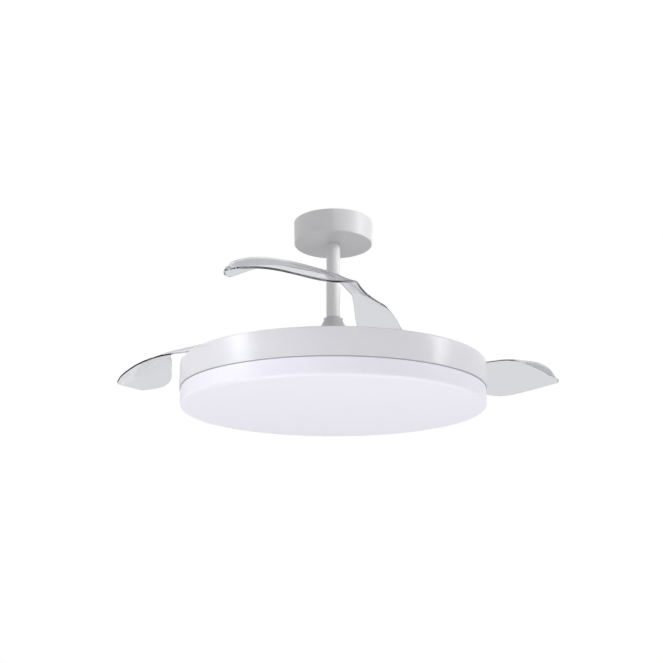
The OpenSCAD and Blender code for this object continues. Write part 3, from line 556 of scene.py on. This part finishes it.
def blade_skin():
    """Points and edge mark of a blade at its pivot.
    Each ray runs over the top, round two corners of radius CORNER, and back along the underside."""
    middle = blade_point(ring_s, ring_w)
    normal = blade_normal(ring_s, ring_w)
    border, up = middle[:, -1], normal[:, -1]
    forward = np.roll(border, -1, axis=0) - np.roll(border, 1, axis=0)
    out = lengths_one(np.cross(forward, up))
    inward = middle[:, -2] - border
    out = np.where((np.sum(out * inward, axis=-1) > 0)[:, None], -out, out)
    share = np.linspace(0, 1, RAY_POINTS)
    pull = CORNER * np.clip((share - CORNER_START) / (1 - CORNER_START), 0, 1) ** 2
    flat = middle - pull[None, :, None] * out[:, None, :]
    half = THICKNESS / 2
    turn = np.radians(np.linspace(0, 90, CORNER_POINTS + 1))[1:]
    inset = CORNER * (1 - np.sin(turn))
    rise = half - CORNER + CORNER * np.cos(turn)
    inset = np.concatenate((inset, inset[::-1]))
    rise = np.concatenate((rise, -rise[::-1]))
    corner = border[:, None] - inset[None, :, None] * out[:, None] + rise[None, :, None] * up[:, None]
    top = flat + half * normal
    low = (flat - half * normal)[:, ::-1]
    loop = np.concatenate((top, corner, low), axis=1)
    mark = np.zeros(loop.shape[:2])
    mark[:, RAY_POINTS:RAY_POINTS + len(inset)] = 1
    return loop, mark


skin, edge_mark = blade_skin()
print("skin", skin.shape)


# %% A mesh from the skin
WELD, SHORTEST_EDGE = 2e-6, 1e-7              # metres


def grid_faces(rows, columns):
    """Quads of a grid whose last row joins the first."""
    r, c = np.meshgrid(np.arange(rows), np.arange(columns - 1), indexing="ij")
    a = r * columns + c
    b = ((r + 1) % rows) * columns + c
    return np.stack((a, b, b + 1, a + 1), axis=-1).reshape(-1, 4)


def make_mesh(name, points, faces, marks):
    """A smooth mesh from millimetres and quads, welded at its seams, with its faces turned outwards."""
    mesh = bpy.data.meshes.new(name)
    mesh.from_pydata(points / 1000, [], faces.tolist())
    mark = mesh.attributes.new("edge", "FLOAT", "POINT")
    mark.data.foreach_set("value", np.asarray(marks, dtype=np.float32).ravel())
    work = bmesh.new()
    work.from_mesh(mesh)
    bmesh.ops.remove_doubles(work, verts=work.verts, dist=WELD)
    bmesh.ops.dissolve_degenerate(work, edges=work.edges, dist=SHORTEST_EDGE)
    bmesh.ops.recalc_face_normals(work, faces=work.faces)
    work.to_mesh(mesh)
    open_edges = sum(1 for e in work.edges if not e.is_manifold)
    work.free()
    mesh.polygons.foreach_set("use_smooth", np.full(len(mesh.polygons), True))
    mesh.update()
    made = bpy.data.objects.new(name, mesh)
    bpy.context.scene.collection.objects.link(made)
    print(name, "faces", len(mesh.polygons), "open edges", open_edges)
    return made


rows, columns = skin.shape[:2]
skin_faces = grid_faces(rows, columns)
# The wall of the pivot's bore closes the rays that start there
from_bore = np.concatenate((np.arange(bore_rays), np.arange(rows - bore_rays, rows)))
bore_faces = np.stack((
    from_bore * columns + columns - 1, ((from_bore + 1) % rows) * columns + columns - 1,
    ((from_bore + 1) % rows) * columns, from_bore * columns), axis=-1)
skin_faces = np.concatenate((skin_faces, bore_faces))
print("faces of one blade", len(skin_faces))

# %% [markdown]
# ## The three blades in place
# The three blades are alike. Each is swung out on its pivot by its own angle, as in the photograph, and
# then carried round to its arm of the carrier. It rides on its own body, and takes the place of the
# frame's blade.


# %% Place the three blades
def turned(points, degrees):
    """Points turned about Z."""
    a = math.radians(degrees)
    spin = np.array(((math.cos(a), -math.sin(a), 0), (math.sin(a), math.cos(a), 0), (0, 0, 1)))
    return points @ spin.T


for number, swing in enumerate(SWINGS, start=1):
    here = turned(skin.reshape(-1, 3), swing) + (PIVOT_RING, 0, 0)
    here = turned(here, PIVOT_AZIMUTH - BLADE_SPACING * (number - 1))
    sheet = make_mesh(f"clear_blade_{number}", here, skin_faces, edge_mark)
    sheet.data.materials.append(clear_acrylic)
    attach(sheet, f"blade_set_{number}")
    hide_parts(f"blade_{number}")

# %% [markdown]
# ## Stage and light
# The light is that of a studio: an even white surround and four lamps. The surround could be as bright as
# it looks, but then pale paint would clip to white. So it sheds less light than the camera sees: what is
# seen of it directly, through the clear blades or in gloss is plain white.

# %% World
AMBIENT = 0.60                                # light that the white surround sheds
world = bpy.data.worlds.new("studio")
bpy.context.scene.world = world
world.use_nodes = True


def seen(graph):
    """1 for a ray from the camera, from glass or from gloss, and 0 for a ray of scattered light."""
    ray, through, gloss = (graph.node("ShaderNodeLightPath", output=kind) for kind in (
        "Is Camera Ray", "Is Transmission Ray", "Is Glossy Ray"))
    return ray.greater_of(through).greater_of(gloss)


sky = Graph(world.node_tree)
backdrop = sky.tree.nodes["Background"]
backdrop.inputs["Color"].default_value = (1, 1, 1, 1)
sky.tree.links.new((seen(sky) * (1 - AMBIENT) + AMBIENT).socket, backdrop.inputs["Strength"])
print("surround", AMBIENT)


# %% [markdown]
# ## Lamps
# Two broad soft boxes stand low in front, and two small ones with a grid high at the sides. The small
# left one brightens the rim, and the small right one the canopy and the rod, as in the photograph.


# %% Lamps
def soft_box(name, place, target, size, power, spread=math.pi):
    """A square lamp at place that faces target. A grid narrows its light to the angle spread."""
    lamp = bpy.data.lights.new(name, "AREA")
    lamp.shape, lamp.size, lamp.energy, lamp.spread = "SQUARE", size, power, spread
    box = bpy.data.objects.new(name, lamp)
    away = np.array(target) - np.array(place)
    flat = math.hypot(away[0], away[1])
    box.location = place
    box.rotation_euler = (math.atan2(flat, -away[2]), 0, math.atan2(-away[0], away[1]))
    bpy.context.scene.collection.objects.link(box)


soft_box("left_low", (-1.2, -1.2, -1.7), (0, 0, -0.3), 1.0, 15)
soft_box("left_high", (-1.9, -0.75, 0.4), (-0.12, -0.2, -0.3), 0.3, 0.08, math.radians(12))
soft_box("right_low", (1.6, -0.9, -1.6), (0, 0, -0.3), 0.9, 12)
soft_box("right_high", (1.9, -0.35, 0.26), (0, 0, 0.0), 0.35, 0.4, math.radians(20))

# %% [markdown]
# ## Floor
# A pale floor lies well below the fan and keeps its shadow. It glows a little where it is seen directly,
# through the blades or in gloss, so that it comes near to the white of the surround without lighting the
# fan.

# %% Floor
floor_finish = Finish("floor_paint", Roughness=0.7, Emission_Strength=1.0)
floor_finish.drive("Emission Color", floor_finish.blend(seen(floor_finish), (0, 0, 0), (0.3, 0.3, 0.3)))
floor_finish.drive("Base Color", floor_finish.blend(
    floor_finish.noise(0.6, 3.0), (0.88, 0.88, 0.88), (0.92, 0.92, 0.92)))
floor_mesh = bpy.data.meshes.new("floor")
REACH, LEVEL = 14.0, -2.4                     # half a side, and the height, in metres
floor_mesh.from_pydata(
    [(-REACH, -REACH, LEVEL), (REACH, -REACH, LEVEL), (REACH, REACH, LEVEL), (-REACH, REACH, LEVEL)], [],
    [(0, 1, 2, 3)])
floor = bpy.data.objects.new("floor", floor_mesh)
floor.data.materials.append(floor_finish.material)
bpy.context.scene.collection.objects.link(floor)
print("floor", 2 * REACH, "m wide at", LEVEL, "m")
